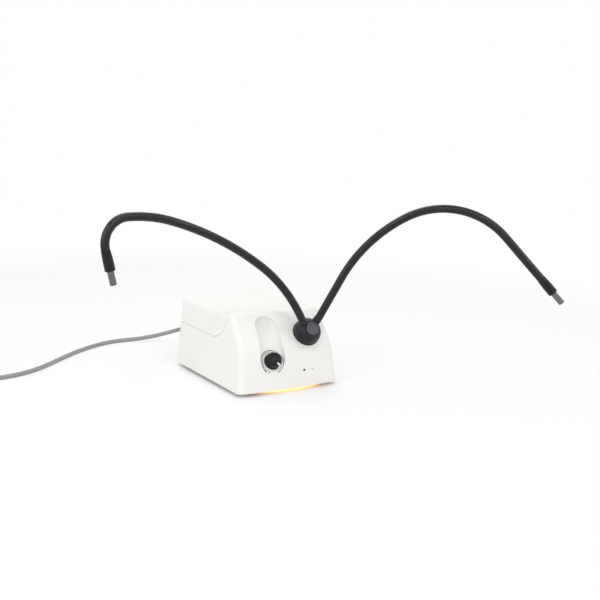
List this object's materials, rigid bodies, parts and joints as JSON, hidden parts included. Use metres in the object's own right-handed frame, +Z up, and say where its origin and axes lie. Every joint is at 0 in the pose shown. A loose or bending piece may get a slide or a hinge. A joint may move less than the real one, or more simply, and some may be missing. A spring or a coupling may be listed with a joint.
{
  "type": "fiber optic illuminator",
  "caption": "Halogen light source in a moulded housing with a dimmer knob and a two-arm gooseneck light guide.",
  "frame": {"origin": "centre of the housing's footprint, on the table", "axes": "-Y towards the front with the knob, +X to the right seen from the front, +Z up"},
  "size_m": [0.8127, 0.5935, 0.2533],
  "materials": {
    "housing_white": "fine-textured moulded plastic, warm off-white",
    "base_grey": "moulded plastic, pale grey",
    "rubber_black": "soft black rubber",
    "plastic_black": "black moulded plastic",
    "steel": "plain zinc-plated steel",
    "panel_grey": "grey painted sheet metal",
    "aluminium": "turned aluminium",
    "anodised_black": "black anodised aluminium",
    "hose_black": "ribbed metal hose, black, half gloss",
    "cap_grey": "dark grey moulded plastic",
    "tip_metal": "polished steel, dark",
    "fibre": "polished fibre bundle",
    "filter_glass": "heat absorbing glass",
    "lamp_glass": "quartz lamp glass",
    "reflector": "faceted dichroic reflector",
    "ceramic": "unglazed ceramic",
    "core_steel": "varnished steel laminations",
    "winding": "taped copper winding",
    "board_green": "printed circuit board",
    "parts_dark": "electronic parts",
    "led_lens": "small dark lens",
    "cord_grey": "grey cord jacket",
    "plug_grey": "grey moulded plug"
  },
  "bodies": {
    "housing": {"housing_shell": "housing_white", "hinge_pins": "steel", "base_plate": "base_grey", "feet": "rubber_black", "base_screws": "steel", "rear_panel": "panel_grey", "panel_screws": "steel", "power_inlet": "plastic_black", "switch_body": "plastic_black", "fan_frame": "plastic_black", "fan_screws": "steel", "transformer_core": "core_steel", "transformer_winding": "winding", "transformer_clamp": "steel", "control_board": "board_green", "heat_sink": "aluminium", "board_parts": "parts_dark", "potentiometer": "steel", "pot_nut": "steel", "power_led": "led_lens", "port_collar": "aluminium", "heat_filter": "filter_glass", "filter_holder": "aluminium", "lamp_bracket": "steel", "halogen_reflector": "reflector", "lamp_capsule": "lamp_glass", "lamp_socket": "ceramic", "cord_connector": "plug_grey", "mains_cord": "cord_grey", "cord_coil": "cord_grey", "mains_plug": "plug_grey"},
    "cover": {"lamp_cover": "housing_white"},
    "knob": {"intensity_knob": "plastic_black", "pot_shaft": "steel"},
    "fuse": {"fuse_drawer": "plastic_black"},
    "rocker": {"switch_rocker": "plastic_black"},
    "fan": {"fan_impeller": "plastic_black"},
    "adapter": {"guide_adapter": "anodised_black", "adapter_screw": "steel"},
    "guide": {"guide_ferrule": "steel", "common_bundle": "fibre", "guide_head": "rubber_black", "head_cap": "cap_grey"},
    "left_arm_1": {"left_hose_1": "hose_black"},
    "left_arm_2": {"left_hose_2": "hose_black"},
    "left_arm_3": {"left_hose_3": "hose_black"},
    "left_arm_4": {"left_hose_4": "hose_black", "left_sleeve": "anodised_black", "left_tip": "tip_metal", "left_fibre_end": "fibre"},
    "right_arm_1": {"right_hose_1": "hose_black"},
    "right_arm_2": {"right_hose_2": "hose_black"},
    "right_arm_3": {"right_hose_3": "hose_black"},
    "right_arm_4": {"right_hose_4": "hose_black", "right_sleeve": "anodised_black", "right_tip": "tip_metal", "right_fibre_end": "fibre"}
  },
  "joints": [
    {"name": "cover_hinge", "type": "hinge", "parent": "housing", "child": "cover", "pos_m": [0, 0.09907, 0.06925], "axis": [-1, 0, 0], "range_deg": [0, 75]},
    {"name": "knob_turn", "type": "hinge", "parent": "housing", "child": "knob", "pos_m": [-0.024, -0.10229, 0.04242], "axis": [0, -0.8387, 0.5446], "range_deg": [-8, 262]},
    {"name": "fuse_slide", "type": "slide", "parent": "housing", "child": "fuse", "axis": [0, 1, 0], "range_m": [0, 0.016]},
    {"name": "rocker_tilt", "type": "hinge", "parent": "housing", "child": "rocker", "pos_m": [-0.036, 0.09643, 0.038], "axis": [-1, 0, 0], "range_deg": [0, 20]},
    {"name": "fan_spin", "type": "hinge", "parent": "housing", "child": "fan", "pos_m": [0.038, 0.08943, 0.038], "axis": [0, 1, 0], "continuous": true},
    {"name": "adapter_turn", "type": "hinge", "parent": "housing", "child": "adapter", "pos_m": [0.03, -0.097, 0.074], "axis": [0, -0.7826, 0.6225], "range_deg": [-12, 12]},
    {"name": "guide_slide", "type": "slide", "parent": "adapter", "child": "guide", "axis": [0, -0.7826, 0.6225], "range_m": [0, 0.04]},
    {"name": "left_bend_1", "type": "hinge", "parent": "guide", "child": "left_arm_1", "pos_m": [0.01347, -0.11094, 0.10281], "axis": [-0.8639, -0.1368, -0.4848], "range_deg": [-15, 20]},
    {"name": "left_bend_2", "type": "hinge", "parent": "left_arm_1", "child": "left_arm_2", "pos_m": [-0.04736, -0.12057, 0.17291], "axis": [0.1564, -0.9877, 0], "range_deg": [-20, 15]},
    {"name": "left_bend_3", "type": "hinge", "parent": "left_arm_2", "child": "left_arm_3", "pos_m": [-0.17495, -0.14078, 0.23902], "axis": [-0.3019, -0.0478, -0.9521], "range_deg": [-20, 20]},
    {"name": "left_bend_4", "type": "hinge", "parent": "left_arm_3", "child": "left_arm_4", "pos_m": [-0.2273, -0.14907, 0.24784], "axis": [0.1564, -0.9877, 0], "range_deg": [-20, 20]},
    {"name": "right_bend_1", "type": "hinge", "parent": "guide", "child": "right_arm_1", "pos_m": [0.04653, -0.11094, 0.10281], "axis": [0.6797, -0.5504, -0.4848], "range_deg": [-20, 15]},
    {"name": "right_bend_2", "type": "hinge", "parent": "right_arm_1", "child": "right_arm_2", "pos_m": [0.06688, -0.12741, 0.15004], "axis": [0.6293, 0.7771, 0], "range_deg": [-20, 9]},
    {"name": "right_bend_3", "type": "hinge", "parent": "right_arm_2", "child": "right_arm_3", "pos_m": [0.13142, -0.17968, 0.23166], "axis": [0.3648, -0.2954, -0.8829], "range_deg": [-20, 20]},
    {"name": "right_bend_4", "type": "hinge", "parent": "right_arm_3", "child": "right_arm_4", "pos_m": [0.23037, -0.25981, 0.20863], "axis": [0.6293, 0.7771, 0], "range_deg": [-20, 20]}
  ]
}
